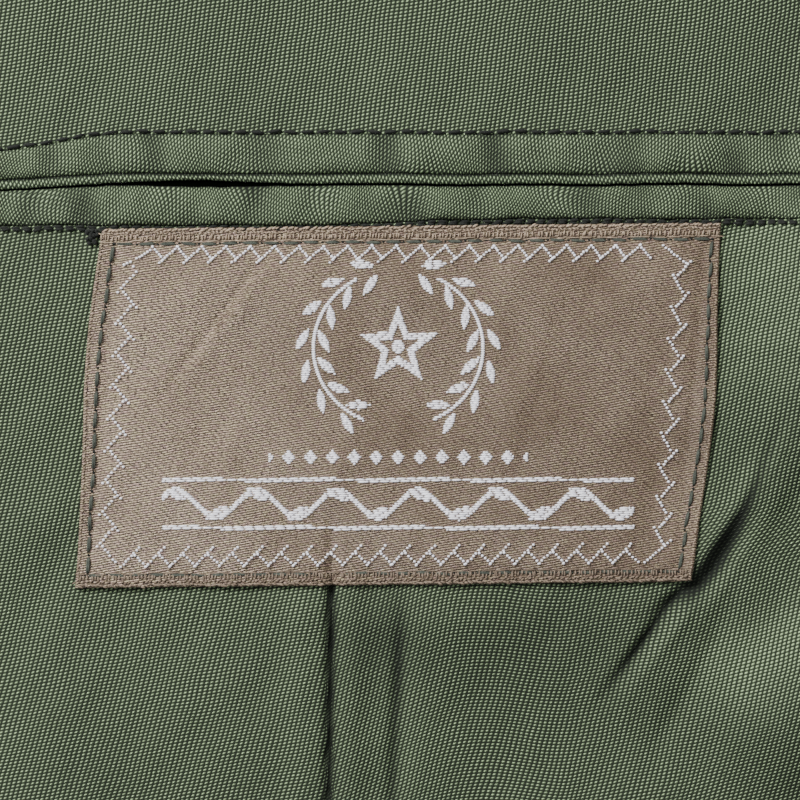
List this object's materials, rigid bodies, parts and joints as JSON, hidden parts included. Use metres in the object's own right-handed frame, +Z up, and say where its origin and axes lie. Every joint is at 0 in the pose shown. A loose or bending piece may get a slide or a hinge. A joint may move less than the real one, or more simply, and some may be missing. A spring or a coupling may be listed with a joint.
{
  "type": "military dress tunic",
  "caption": "Officer's wool dress tunic laid flat on its back, one front turned open to show its twill lining, jetted inside pocket and woven label",
  "frame": {"origin": "Middle of the footprint of the laid coat, on the surface that it lies on", "axes": "+X towards the wearer's left, the longest way across both sleeves; +Y towards the collar; +Z up from the surface, the thin way"},
  "size_m": [1.3059, 0.8295, 0.0325],
  "materials": {
    "wool": "matt milled wool serge",
    "lining": "green twill lining with a slight sheen",
    "label": "tan woven satin tape",
    "buttons": "polished, a little dulled"
  },
  "bodies": {
    "root": {"back": "wool", "back_lining": "lining", "front_left": "wool", "front_right": "wool", "facing_left": "wool", "facing_right": "wool", "front_lining_left": "lining", "inside_welt_upper": "lining", "inside_welt_lower": "lining", "label": "label", "sleeve_upper_left": "wool", "sleeve_under_left": "wool", "sleeve_upper_right": "wool", "sleeve_under_right": "wool", "collar_upper": "wool", "collar_under": "wool", "breast_pocket": "wool", "breast_pocket_flap": "wool", "skirt_pocket": "wool", "skirt_pocket_flap": "wool", "shoulder_loop": "wool", "front_button_1": "buttons", "front_button_2": "buttons", "front_button_3": "buttons", "front_button_4": "buttons", "breast_flap_button": "buttons", "skirt_flap_button": "buttons", "loop_button": "buttons"}
  },
  "joints": []
}
